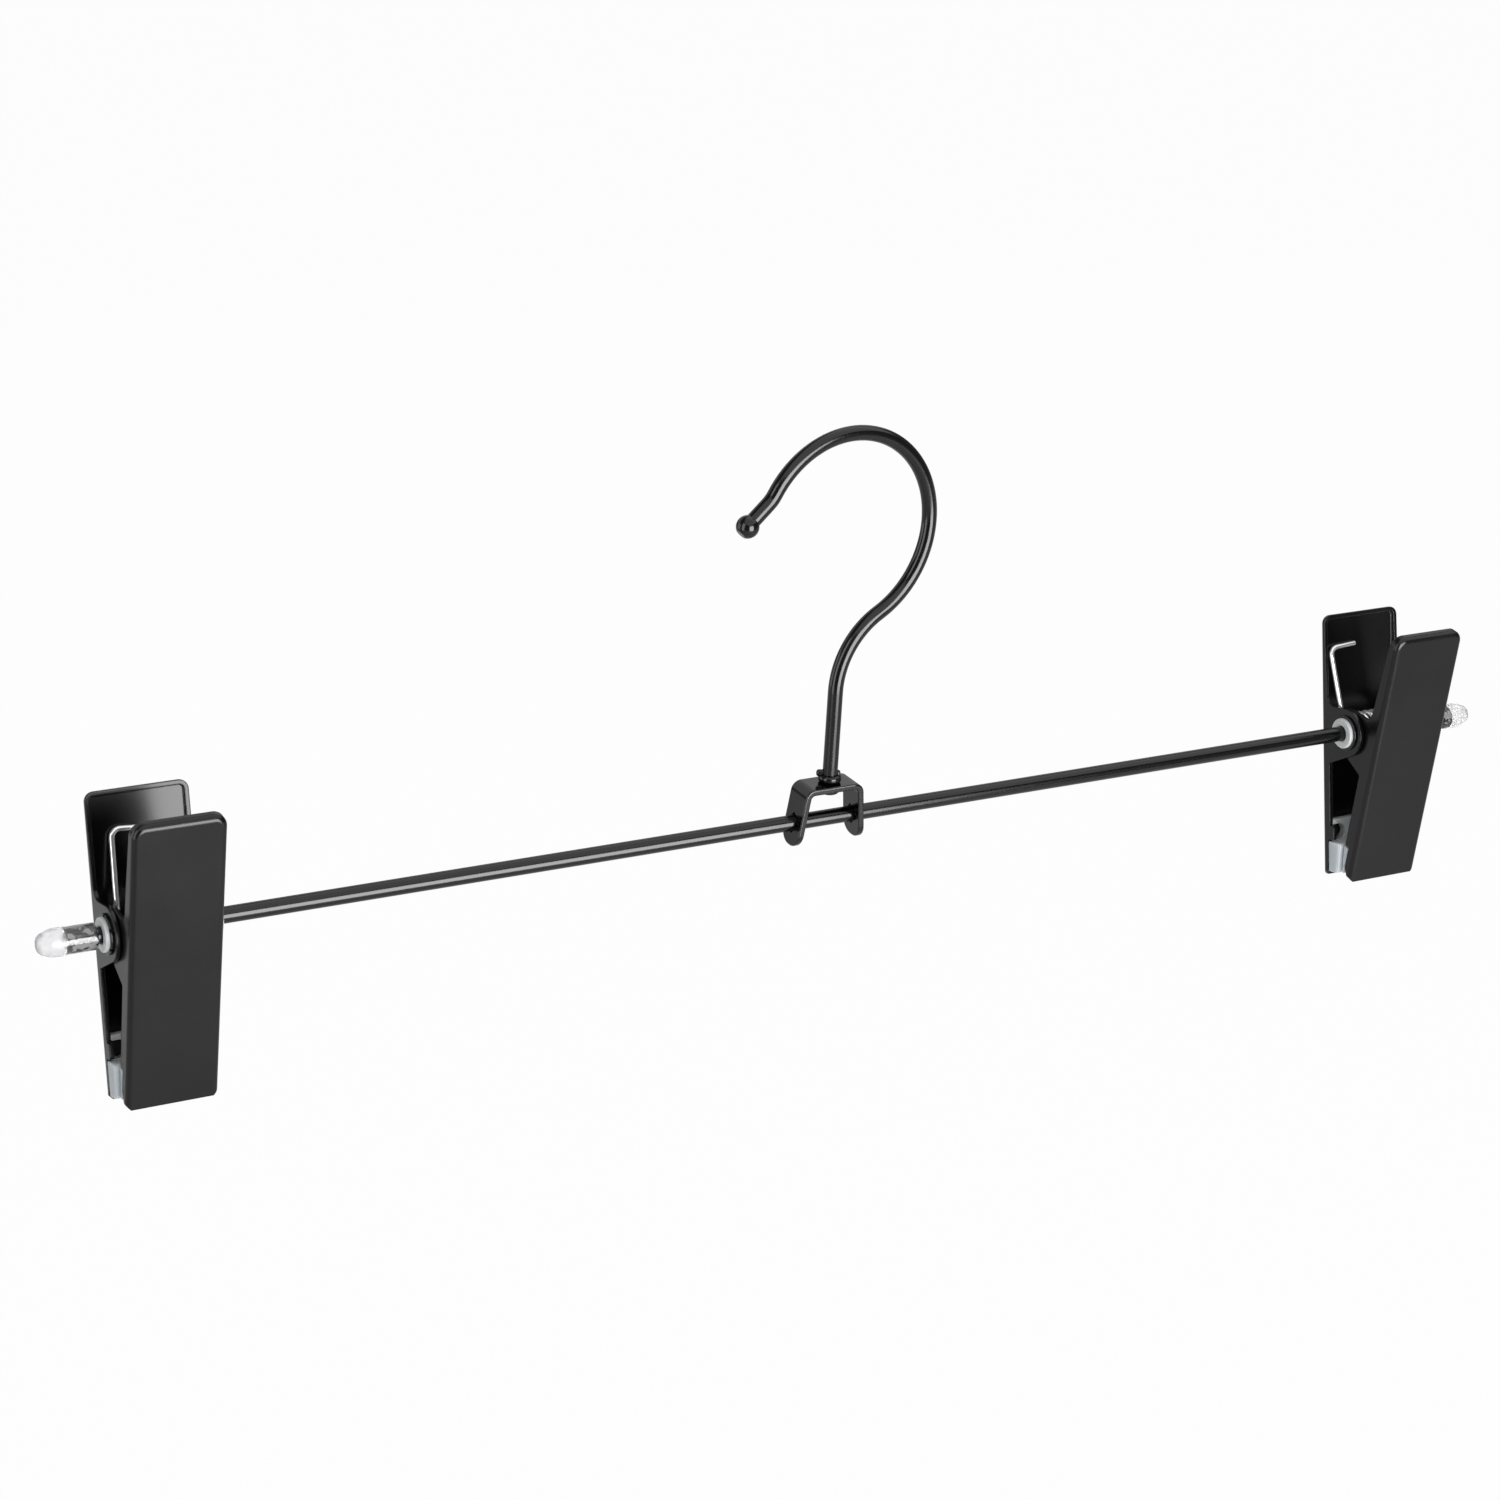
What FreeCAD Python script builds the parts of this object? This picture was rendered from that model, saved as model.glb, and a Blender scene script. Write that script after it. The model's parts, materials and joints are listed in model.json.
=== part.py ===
import FreeCAD
import Part
import math
import os

from FreeCAD import Vector

# Skirt hanger: a straight wire bar under a swivel hook, with two sprung clips that
# slide and swing on the bar. Lengths are in millimetres and angles in degrees.
# X runs along the bar, Z is up, and the clips' squeezed handles point up.
# The origin is where a wardrobe rail meets the inside of the hook's crook.

# Cuts run past their solids by this much
overrun = 2.0
# Radial room of a turning or sliding fit, and room between flat faces that turn
fit_clearance = 0.05
face_clearance = 0.05
# Points nearer than this are one point
same_point = 0.02

# Bar and its soft end caps
bar_diameter = 3.8
bar_length = 376.6
bar_end_chamfer = 0.4
cap_diameter = 6.3
cap_mouth_diameter = 5.9
cap_length = 13.0
cap_overhang = 5.7
cap_end_wall = 2.0
cap_nose_length = 3.2
cap_nose_share = 0.62
cap_shoulder_radius = 4.0
cap_tip_radius = 1.6
cap_lip_radius = 0.5

# Hook, bent from one wire
hook_wire_diameter = 3.6
crook_radius = 23.9
crook_height = 71.3
neck_radius = 20.4
crook_end_angle = 150.0
tip_radius = 8.0
tip_angle = 19.0
tip_length = 7.1
ball_diameter = 5.4
ball_flat_depth = 0.35
hook_turn = 5.4

# Upset collar, pinched stop and rivet head that hold the hook in its bracket
collar_diameter = 5.6
collar_height = 1.9
collar_edge_radius = 0.8
pinch_width = 5.8
pinch_depth = 1.5
pinch_height = 1.7
pinch_edge_radius = 0.65
pinch_shift = 0.4
pinch_turn = -29.0
shank_diameter = 3.0
rivet_diameter = 5.0
rivet_height = 1.3
rivet_edge_radius = 0.9

# Bracket, a strap bent over the bar, with its left leg opened out more than its right
strap_thickness = 1.5
strap_width = 7.8
strap_top_height = 9.2
strap_bend_radius = 1.1
left_leg_reach = 8.65
left_leg_splay = 9.0
right_leg_reach = 7.25
right_leg_splay = 4.5
leg_drop = 6.3
leg_round_share = 0.9
strap_edge_radius = 0.35
leg_hole_diagonal = 5.5
leg_hole_corner_radius = 0.4

# Clips: gap to the end cap, lean while hanging, and half the angle between the jaws
clip_end_gap = 1.15
clip_lean = 3.0
jaw_half_angle = 8.7
sheet = 1.0
bend_radius = 1.3
bend_inner_radius = 0.3
jaw_gap = 0.2

# Both jaws: round ears on the pivot
ear_radius = 6.2
ear_fillet = 3.0
ear_slope = 20.0
ear_root_radius = 0.6
foot_height = 3.2
foot_radius = 1.0
foot_chamfer = 1.1

# Outer jaw, with a lug on each flange that keys its pad
outer_width = 23.6
outer_plate = 10.2
outer_above = 29.6
outer_below = 39.5
outer_flange_top = 1.7
outer_flange_waist = 2.4
outer_flange_middle = 3.1
outer_flange_low = 2.5
outer_corner_radius = 2.2
lug_top = 25.95
lug_bottom = 29.65
lug_reach = 1.5
lug_radius = 0.5

# Inner jaw, one sheet and a gap narrower on each side
inner_plate = 11.4
inner_above = 31.4
inner_below = 38.6
inner_flange_top = 2.6
inner_flange_waist = 4.3
inner_flange_middle = 4.4
inner_flange_low = 3.0
inner_corner_radius = 3.0

# Grip pads, the outer one thicker, so that they meet in front of the pivot
pad_top = 24.4
pad_step = 30.2
pad_foot_gap = 1.2
pad_face_gap = 0.2
pad_offset = 1.5
pad_edge_radius = 0.5
pad_side_gap = 0.05
pad_slot_height = 4.2
pad_slot_depth = 3.9

# Hollow rivet and the two flanged bushes pressed into it
tube_diameter = 6.6
tube_wall = 0.5
rim_diameter = 9.2
rim_thickness = 0.6
rim_edge_radius = 0.25
petal_count = 6
petal_slit = 0.7
bush_flange_diameter = 7.8
bush_flange_thickness = 0.9
bush_edge_radius = 0.3
bush_length = 9.0
bush_mouth_diameter = 4.3
bush_mouth_depth = 0.4

# Torsion spring round the hollow rivet
spring_wire = 1.3
spring_coil_radius = 4.45
spring_turn_gap = 0.6
spring_side_gap = 0.4
spring_shift = 0.35
spring_leg_lean = 3.6
spring_leg_height = 20.9
spring_bend_radius = 2.0
spring_end_length = 6.0
spring_back_gap = 0.15
spring_front_gap = 0.3
quarter_turn = 90.0
arc_samples = 5

# Worked out from the above
bar_radius = bar_diameter / 2
hook_wire_radius = hook_wire_diameter / 2
bar_z = hook_wire_radius - crook_height - crook_radius
strap_sweep = 2 * (left_leg_reach + right_leg_reach)
inner_width = outer_width - 2 * (sheet + jaw_gap)
tube_radius = tube_diameter / 2
bush_radius = tube_radius - tube_wall
rim_face = outer_width / 2 + face_clearance
spring_radius = spring_wire / 2
spring_half_length = inner_width / 2 - sheet - spring_side_gap - spring_radius - spring_shift
spring_full_turns = int(2 * spring_half_length / (spring_wire + spring_turn_gap))
cap_mouth = bar_length / 2 + cap_overhang - cap_length
clip_position = cap_mouth - clip_end_gap - bush_flange_thickness - rim_thickness - rim_face
x_axis = Vector(1, 0, 0)
y_axis = Vector(0, 1, 0)
z_axis = Vector(0, 0, 1)
origin = Vector(0, 0, 0)


def polar(centre, radius, angle):
    """Point of a circle in a flat drawing, as a pair."""
    turn = math.radians(angle)
    return centre[0] + radius * math.cos(turn), centre[1] + radius * math.sin(turn)


def side_plane(across, up):
    """Place a drawing of a clip's side view, which looks along X."""
    return Vector(0, across, up)


def plan_plane(across, up):
    """Place a drawing of a jaw's front view, which looks along Y."""
    return Vector(across, 0, up)


def outline(corners, plane):
    """Flat face through corners given as (across, up, rounding radius)."""
    points = [Vector(across, up, 0) for across, up, radius in corners]
    count = len(points)
    bends = []
    for i, here in enumerate(points):
        radius = corners[i][2]
        before = (points[i - 1] - here).normalize()
        after = (points[(i + 1) % count] - here).normalize()
        half = before.getAngle(after) / 2
        reach = radius / math.tan(half)
        inward = (before + after).normalize() if radius else before
        middle = here + inward * (radius / math.sin(half) - radius)
        bends.append((here + before * reach, middle, here + after * reach))
    edges = []
    for i, (start, middle, end) in enumerate(bends):
        if corners[i][2]:
            arc = Part.Arc(*[plane(p.x, p.y) for p in (start, middle, end)])
            edges.append(arc.toShape())
        following = bends[(i + 1) % count][0]
        if not following.isEqual(end, same_point):
            edges.append(Part.LineSegment(plane(end.x, end.y), plane(following.x, following.y)).toShape())
    return Part.Face(Part.Wire(edges))


def along_x(face, width):
    """Solid of a side view, centred on the clip's middle."""
    return face.translated(Vector(-width / 2, 0, 0)).extrude(Vector(width, 0, 0))


def rod(radius, length, start, direction=x_axis):
    return Part.makeCylinder(radius, length, start, direction)


def turned(profile, place=0):
    """Solid of revolution round X from (along, radius) corners with rounding."""
    face = outline(profile, lambda along, radius: Vector(along, 0, radius))
    return face.revolve(origin, x_axis, 360).translated(Vector(place, 0, 0))


def sweep(edges, radius):
    """Round wire along joined lines and arcs, starting square to the first edge."""
    path = Part.Wire(edges)
    first = path.Edges[0]
    start = first.valueAt(first.FirstParameter)
    heading = first.tangentAt(first.FirstParameter)
    ring = Part.Wire(Part.Circle(start, heading, radius).toShape())
    return path.makePipeShell([ring], True, False)


def hook_arc(centre, radius, first, last):
    """Arc of the hook's drawing between two angles."""
    spots = [polar(centre, radius, angle) for angle in (first, (first + last) / 2, last)]
    return Part.Arc(*[Vector(along, 0, up + bar_z) for along, up in spots]).toShape()


def hook_tip():
    """Centre, start and end angle of the outward bend, and where the ball sits."""
    centre = polar((0, crook_height), crook_radius + tip_radius, crook_end_angle)
    start = crook_end_angle + 180
    end = start - tip_angle
    bend_end = polar(centre, tip_radius, end)
    ball = polar(bend_end, tip_length, end - 90)
    return centre, start, end, bend_end, ball


def hook_wire():
    """Stem, neck, crook and tip as one bent wire."""
    rise = math.sqrt(crook_radius ** 2 + 2 * crook_radius * neck_radius)
    neck_start = crook_height - rise
    neck_end_angle = math.degrees(math.atan2(rise, -neck_radius))
    tip_centre, tip_start, tip_end, bend_end, ball = hook_tip()
    stem_foot = Vector(0, 0, bar_z + strap_top_height + face_clearance)
    edges = [
        Part.LineSegment(stem_foot, Vector(0, 0, bar_z + neck_start)).toShape(),
        hook_arc((neck_radius, neck_start), neck_radius, 180, neck_end_angle),
        hook_arc((0, crook_height), crook_radius, neck_end_angle - 180, crook_end_angle),
        hook_arc(tip_centre, tip_radius, tip_start, tip_end),
        Part.LineSegment(Vector(bend_end[0], 0, bend_end[1] + bar_z),
                         Vector(ball[0], 0, ball[1] + bar_z)).toShape(),
    ]
    return sweep(edges, hook_wire_radius)


def hook_ball():
    """Ball on the tip, with the flat where the wire was cut."""
    tip_end, place = hook_tip()[2], hook_tip()[4]
    centre = Vector(place[0], 0, place[1] + bar_z)
    heading = math.radians(tip_end - 90)
    outward = Vector(math.cos(heading), 0, math.sin(heading))
    ball = Part.makeSphere(ball_diameter / 2, centre)
    flat = centre + outward * (ball_diameter / 2 - ball_flat_depth)
    return ball.cut(rod(ball_diameter, overrun, flat, outward))


def rounded_disc(diameter, height, foot, edge_radius, both):
    """Upright disc with its lower edge rounded, and its upper one too if asked."""
    disc = rod(diameter / 2, height, foot, z_axis)
    rims = [e for e in disc.Edges if e.Closed]
    chosen = rims if both else [e for e in rims if e.CenterOfMass.z < foot.z + height / 2]
    return disc.makeFillet(edge_radius, chosen)


def make_hook():
    """Hook with its collar, pinched stop, shank and rivet head."""
    top = bar_z + strap_top_height
    under = top - strap_thickness
    collar_foot = Vector(0, 0, top + face_clearance)
    collar = rounded_disc(collar_diameter, collar_height, collar_foot, collar_edge_radius, True)
    pinch_foot = collar_foot.z + collar_height - pinch_edge_radius
    pinch = Part.makeBox(pinch_width, pinch_depth, pinch_height,
                         Vector(-pinch_width / 2 - pinch_shift, -pinch_depth / 2, pinch_foot))
    pinch = pinch.makeFillet(pinch_edge_radius, pinch.Edges).rotated(origin, z_axis, pinch_turn)
    head_foot = Vector(0, 0, under - face_clearance - rivet_height)
    head = rounded_disc(rivet_diameter, rivet_height, head_foot, rivet_edge_radius, False)
    shank_foot = Vector(0, 0, head_foot.z + rivet_height / 2)
    shank = rod(shank_diameter / 2, collar_foot.z - head_foot.z, shank_foot, z_axis)
    hook = hook_wire().multiFuse([hook_ball(), collar, pinch, head, shank]).removeSplitter()
    return hook.rotated(origin, z_axis, hook_turn)


def strap_side(reach, splay):
    """One side of the strap's middle line: start, middle and end of the bend, and foot of the leg."""
    slope = math.tan(math.radians(splay))
    level = strap_top_height - strap_thickness / 2
    middle_radius = strap_bend_radius + strap_thickness / 2
    bend = math.radians(90 - splay) / 2
    run = middle_radius * math.tan(bend)
    lean = Vector(math.sin(math.radians(splay)), 0, -math.cos(math.radians(splay)))
    apex = Vector(reach - slope * level, 0, level)
    inward = (lean - x_axis).normalize()
    middle = apex + inward * (middle_radius / math.cos(bend) - middle_radius)
    foot = Vector(reach + slope * leg_drop, 0, -leg_drop)
    return [apex - x_axis * run, middle, apex + lean * run, foot]


def strap_path():
    """Middle line of the bent strap: leg, bend, top, bend, leg."""
    right = strap_side(right_leg_reach, right_leg_splay)
    left = [Vector(-p.x, p.y, p.z) for p in strap_side(left_leg_reach, left_leg_splay)]
    return [
        Part.LineSegment(left[3], left[2]).toShape(),
        Part.Arc(left[2], left[1], left[0]).toShape(),
        Part.LineSegment(left[0], right[0]).toShape(),
        Part.Arc(right[0], right[1], right[2]).toShape(),
        Part.LineSegment(right[2], right[3]).toShape(),
    ]


def leg_hole():
    """Square hole on its corner, with the bar lying in its lower V."""
    bottom = -bar_radius * math.sqrt(2)
    half = leg_hole_diagonal / 2
    middle = bottom + half
    spots = [(0, bottom), (half, middle), (0, bottom + leg_hole_diagonal), (-half, middle)]
    corners = [(across, up, leg_hole_corner_radius) for across, up in spots]
    return along_x(outline(corners, side_plane), strap_sweep)


def make_bracket():
    """Strap with rounded leg ends, square bar holes and a hole for the hook's shank."""
    half = strap_width / 2
    path = Part.Wire(strap_path())
    start = path.Edges[0].valueAt(path.Edges[0].FirstParameter)
    heading = path.Edges[0].tangentAt(path.Edges[0].FirstParameter)
    across = heading.cross(y_axis) * (strap_thickness / 2)
    signs = ((-1, -1), (1, -1), (1, 1), (-1, 1))
    section = [start + across * s + y_axis * (half * t) for s, t in signs]
    strap = path.makePipeShell([Part.makePolygon(section + section[:1])], True, False)
    above = strap_top_height + overrun
    foot = strap_thickness / 2 - leg_drop
    rounding = half * leg_round_share
    ends = [(-half, foot, rounding), (-half, above, 0), (half, above, 0), (half, foot, rounding)]
    strap = strap.common(along_x(outline(ends, side_plane), strap_sweep))
    long_edges = [e for e in strap.Edges if abs(abs(e.CenterOfMass.y) - half) < face_clearance]
    strap = strap.makeFillet(strap_edge_radius, long_edges)
    strap = strap.cut(leg_hole())
    hole_foot = Vector(0, 0, strap_top_height - strap_thickness - overrun)
    hole_radius = shank_diameter / 2 + fit_clearance
    strap = strap.cut(rod(hole_radius, strap_thickness + 2 * overrun, hole_foot, z_axis))
    return strap.translated(Vector(0, 0, bar_z))


def make_bar():
    half = bar_length / 2
    shoulder = half - bar_end_chamfer
    nose = bar_radius - bar_end_chamfer
    profile = [(-half, 0, 0), (-half, nose, 0), (-shoulder, bar_radius, 0),
               (shoulder, bar_radius, 0), (half, nose, 0), (half, 0, 0)]
    return turned(profile).translated(Vector(0, 0, bar_z))


def make_cap(side):
    """Soft cap pushed on one end of the bar, hollow a little past the bar's end."""
    tip = cap_mouth + cap_length
    radius = cap_diameter / 2
    floor = tip - cap_end_wall
    profile = [(cap_mouth, bar_radius, 0), (cap_mouth, cap_mouth_diameter / 2, cap_lip_radius),
               (tip - cap_nose_length, radius, cap_shoulder_radius),
               (tip, radius * cap_nose_share, cap_tip_radius), (tip, 0, 0),
               (floor, 0, 0), (floor, bar_radius, 0)]
    cap = turned(profile)
    if side < 0:
        cap = cap.rotated(origin, z_axis, 180)
    return cap.translated(Vector(0, 0, bar_z))


def jaw_side(plate, above, below, flange, lug):
    """Side view of a jaw: plate line, flange edge, round ear and foot.

    flange holds its depths at the top, above the ear, below the ear and at the foot.
    """
    top, waist, middle, low = [plate - depth for depth in flange]
    slope = math.radians(ear_slope)
    fall = math.tan(slope)
    touch = ear_radius / math.cos(slope)
    corners = [
        (plate, -below, 0),
        (plate, above, 0),
        (top, above, 0),
        (waist, ear_radius, ear_fillet),
        (-ear_radius, ear_radius, ear_radius),
        (-ear_radius, ear_radius * fall - touch, ear_radius),
        (middle, -middle * fall - touch, ear_root_radius),
    ]
    if lug:
        corners += [(middle, -lug_top, lug_radius), (middle - lug, -lug_top, lug_radius),
                    (middle - lug, -lug_bottom, lug_radius)]
    else:
        corners += [(middle, -lug_bottom, lug_radius)]
    corners += [
        (low, -lug_bottom, lug_radius),
        (low, foot_height - below, foot_radius),
        (plate - sheet, -below, 0),
    ]
    return outline(corners, side_plane)


def jaw_plan(width, above, below, corner, chamfer):
    """Front view of a jaw, with rounded top corners and chamfered feet."""
    half = width / 2
    corners = [(-half + chamfer, -below, 0), (half - chamfer, -below, 0), (half, chamfer - below, 0),
               (half, above, corner), (-half, above, corner), (-half, chamfer - below, 0)]
    return outline(corners, plan_plane)


def jaw_blank(width, plate, above, below, flange, lug, corner):
    """Solid blank of a jaw with its outer bends rounded."""
    reach = Vector(0, plate + overrun + ear_radius + overrun, 0)
    front = jaw_plan(width, above, below, corner, foot_chamfer)
    front = front.translated(Vector(0, -ear_radius - overrun, 0)).extrude(reach)
    blank = along_x(jaw_side(plate, above, below, flange, lug), width).common(front)
    foot = foot_chamfer - below
    rim = [e for e in blank.Edges if e.BoundBox.YMin > plate - face_clearance]
    return blank.makeFillet(bend_radius, [e for e in rim if e.CenterOfMass.z > foot])


def jaw_hollow(width, plate, above, below, corner):
    """Room inside a jaw, open at the foot and towards the other jaw."""
    depth = plate - sheet + ear_radius + overrun
    inside = jaw_plan(width - 2 * sheet, above - sheet, below + overrun, corner - sheet, foot_chamfer)
    room = inside.translated(Vector(0, plate - sheet, 0)).extrude(Vector(0, -depth, 0))
    bends = [e for e in room.Edges if e.BoundBox.YMin > plate - sheet - face_clearance]
    return room.makeFillet(bend_inner_radius, bends)


def make_jaw(width, plate, above, below, flange, lug, corner):
    """Pressed jaw: plate with flanges, ears and pivot holes, opening outwards at the top."""
    jaw = jaw_blank(width, plate, above, below, flange, lug, corner)
    jaw = jaw.cut(jaw_hollow(width, plate, above, below, corner))
    hole = rod(tube_radius + fit_clearance, width + 2 * overrun, Vector(-width / 2 - overrun, 0, 0))
    return jaw.cut(hole).rotated(origin, x_axis, -jaw_half_angle)


def pad_face(up, offset):
    """Distance of the grip face from the pivot, level with a height on the jaw."""
    angle = math.radians(jaw_half_angle)
    return (pad_face_gap / 2 + offset - up * math.sin(angle)) / math.cos(angle)


def pad_slot(half):
    """Slot with a round inner end, for the lug at one end of the pad."""
    middle = -(lug_top + lug_bottom) / 2
    end = pad_slot_height / 2
    inner = half - pad_slot_depth
    outer = half + overrun
    corners = [(inner, middle - end, end), (outer, middle - end, 0),
               (outer, middle + end, 0), (inner, middle + end, end)]
    return outline(corners, plan_plane).extrude(Vector(0, outer_plate, 0))


def make_pad(width, plate, below, flange, offset, slotted):
    """Grip pad: a tongue between the flanges over a full width gripping block."""
    back = plate - sheet
    tongue = plate - flange[2]
    step = plate - flange[3]
    foot = pad_foot_gap - below
    inner_half = width / 2 - sheet - pad_side_gap
    corners = [(back, foot, pad_edge_radius), (back, -pad_top, pad_edge_radius),
               (tongue, -pad_top, pad_edge_radius), (tongue, -pad_step, 0),
               (pad_face(-pad_step, offset), -pad_step, pad_edge_radius),
               (pad_face(foot, offset), foot, pad_edge_radius)]
    pad = along_x(outline(corners, side_plane), width)
    wide = overrun + sheet
    waste = [Part.makeBox(wide, plate, below, Vector(inner_half, step - pad_side_gap, -below)),
             Part.makeBox(wide, plate + overrun, below, Vector(inner_half, -overrun, -pad_step))]
    for block in waste:
        pad = pad.cut(block).cut(block.mirror(origin, x_axis))
    spine = [e for e in pad.Edges if e.BoundBox.YMin > back - same_point]
    spine = [e for e in spine if e.BoundBox.ZLength > e.BoundBox.XLength]
    pad = pad.makeFillet(bend_inner_radius, spine)
    if slotted:
        slot = pad_slot(inner_half)
        pad = pad.cut(slot).cut(slot.mirror(origin, x_axis))
    return pad.rotated(origin, x_axis, -jaw_half_angle)


def make_tube(set_side):
    """Hollow rivet: a smooth rim at one end and slit petals at the set end."""
    rim = rim_diameter / 2
    face = rim_face + rim_thickness
    profile = [(-face, bush_radius, 0), (-face, rim, rim_edge_radius), (-rim_face, rim, 0),
               (-rim_face, tube_radius, 0), (rim_face, tube_radius, 0), (rim_face, rim, 0),
               (face, rim, rim_edge_radius), (face, bush_radius, 0)]
    tube = turned(profile)
    for i in range(petal_count):
        slit = Part.makeBox(rim_thickness + overrun, petal_slit, rim,
                            Vector(rim_face, -petal_slit / 2, tube_radius))
        tube = tube.cut(slit.rotated(origin, x_axis, 360 * i / petal_count))
    return tube if set_side > 0 else tube.rotated(origin, z_axis, 180)


def make_bush(side):
    """Flanged plastic bush, pressed into one end of the hollow rivet."""
    bore = bar_radius + fit_clearance
    mouth = bush_mouth_diameter / 2
    seat = rim_face + rim_thickness
    face = seat + bush_flange_thickness
    rim = bush_flange_diameter / 2
    inner = seat - bush_length
    profile = [(inner, bore, 0), (inner, bush_radius, 0), (seat, bush_radius, 0), (seat, rim, 0),
               (face, rim, bush_edge_radius), (face, mouth, 0), (face - bush_mouth_depth, bore, 0)]
    bush = turned(profile)
    return bush if side > 0 else bush.rotated(origin, z_axis, 180)


def spring_seat(plate, gap, side):
    """Where a spring leg's end lies on a jaw, in the clip's side view."""
    angle = math.radians(jaw_half_angle)
    depth = plate - sheet - spring_radius - gap
    across = depth * math.cos(angle) + spring_leg_height * math.sin(angle)
    up = spring_leg_height * math.cos(angle) - depth * math.sin(angle)
    return side * across, up


def biarc(start, start_way, end, end_way):
    """Two arcs that join two points and keep to both directions."""
    span = end - start
    ways = start_way + end_way
    a = 2 * (1 - start_way.dot(end_way))
    b = span.dot(ways)
    reach = (math.sqrt(b * b + a * span.dot(span)) - b) / a
    first = start + start_way * reach
    last = end - end_way * reach
    joint = (first + last) / 2
    arcs = []
    for p, apex, q in ((start, first, joint), (joint, last, end)):
        middle = (p + q) / 2
        rise = apex - middle
        half_chord = (q - p).Length / 2
        sag = half_chord * math.tan(math.atan2(rise.Length, half_chord) / 2)
        arcs.append(Part.Arc(p, middle + rise.normalize() * sag, q).toShape())
    return arcs


def spring_coil(lean):
    """Points and directions of the coil, a quarter turn apart, from back leg to front leg."""
    ends = []
    for seat, lean in ((spring_seat(outer_plate, spring_back_gap, 1), -1),
                       (spring_seat(inner_plate, spring_front_gap, -1), 1)):
        swing = math.degrees(math.acos(spring_coil_radius / math.hypot(*seat)))
        ends.append(math.degrees(math.atan2(seat[1], seat[0])) + lean * swing)
    first = ends[0]
    last = ends[1] - 360 * spring_full_turns
    steps = round((first - last) / quarter_turn)
    advance = 2 * spring_half_length / math.radians(first - last)
    slopes = [-spring_coil_radius * math.tan(math.radians(lean))] + [advance] * (steps - 1) + [0]
    stations = []
    for i in range(steps + 1):
        angle = first + (last - first) * i / steps
        across, up = polar((0, 0), spring_coil_radius, angle)
        along = spring_half_length * (2 * i / steps - 1)
        way = Vector(slopes[i], spring_coil_radius * math.sin(math.radians(angle)),
                     -spring_coil_radius * math.cos(math.radians(angle)))
        stations.append((Vector(along, across, up), way.normalize()))
    return stations


def spring_leg(foot, seat, along, lean):
    """Edges of a leg from the coil to its bent end, which lies across the jaw."""
    reach = (Vector(foot.x, *seat) - foot).Length
    corner = Vector(foot.x + reach * math.tan(math.radians(lean)), *seat)
    rise = (corner - foot).normalize()
    side = (x_axis - rise * rise.x).normalize() * along
    bend_start = corner - rise * spring_bend_radius
    bend_end = corner + side * spring_bend_radius
    centre = bend_start + side * spring_bend_radius
    middle = centre + (rise - side).normalize() * spring_bend_radius
    tip = bend_end + side * spring_end_length
    bend = Part.Arc(bend_start, middle, bend_end)
    lines = [Part.LineSegment(foot, bend_start), bend, Part.LineSegment(bend_end, tip)]
    return [line.toShape() for line in lines]


def least_gap(edges):
    """Smallest clear distance between neighbouring turns of the spring."""
    points = [p for e in edges for p in e.discretize(arc_samples)[:-1]]
    turn = round(len(points) / len(edges)) * round(360 / quarter_turn)
    far = [(points[i] - q).Length for i in range(len(points)) for q in points[i + turn:]]
    return min(far) - spring_wire


def make_spring(lean):
    """Torsion spring as one unbroken wire from leg to leg, its back leg leaning along X."""
    stations = spring_coil(lean)
    coil = []
    for (start, start_way), (end, end_way) in zip(stations, stations[1:]):
        coil += biarc(start, start_way, end, end_way)
    back = spring_leg(stations[0][0], spring_seat(outer_plate, spring_back_gap, 1), 1, lean)
    front = spring_leg(stations[-1][0], spring_seat(inner_plate, spring_front_gap, -1), -1, 0)
    path = Part.sortEdges(back + coil + front)[0]
    print("least gap in spring", round(least_gap(coil), 2))
    return sweep(path, spring_radius)


def make_clip(set_side):
    """All pieces of one clip, upright with its pivot on the origin.

    The rivet is set on the bar's outer side, and the spring has slid and leans to the inner side.
    """
    outer_flange = (outer_flange_top, outer_flange_waist, outer_flange_middle, outer_flange_low)
    inner_flange = (inner_flange_top, inner_flange_waist, inner_flange_middle, inner_flange_low)
    inner_jaw = make_jaw(inner_width, inner_plate, inner_above, inner_below, inner_flange, 0,
                         inner_corner_radius)
    inner_pad = make_pad(inner_width, inner_plate, inner_below, inner_flange, pad_offset, False)
    spring = make_spring(-set_side * spring_leg_lean)
    return {
        "outer_jaw": make_jaw(outer_width, outer_plate, outer_above, outer_below, outer_flange, lug_reach,
                              outer_corner_radius),
        "inner_jaw": inner_jaw.rotated(origin, z_axis, 180),
        "outer_pad": make_pad(outer_width, outer_plate, outer_below, outer_flange, -pad_offset, True),
        "inner_pad": inner_pad.rotated(origin, z_axis, 180),
        "pivot_tube": make_tube(set_side),
        "left_bush": make_bush(-1),
        "right_bush": make_bush(1),
        "spring": spring.translated(Vector(-set_side * spring_shift, 0, 0)),
    }


def main():
    os.makedirs("parts", exist_ok=True)
    nodes = {
        "hook": make_hook(),
        "bracket": make_bracket(),
        "bar": make_bar(),
    }
    for name, side in (("left", -1), ("right", 1)):
        nodes[name + "_end_cap"] = make_cap(side)
        for piece, shape in make_clip(side).items():
            hung = shape.rotated(origin, x_axis, -clip_lean)
            nodes[name + "_clip_" + piece] = hung.translated(Vector(side * clip_position, 0, bar_z))
    for node, shape in nodes.items():
        shape.exportStep("parts/" + node + ".step")
        print(node, "solids", len(shape.Solids), "volume", round(shape.Volume, 1))


main()
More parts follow.
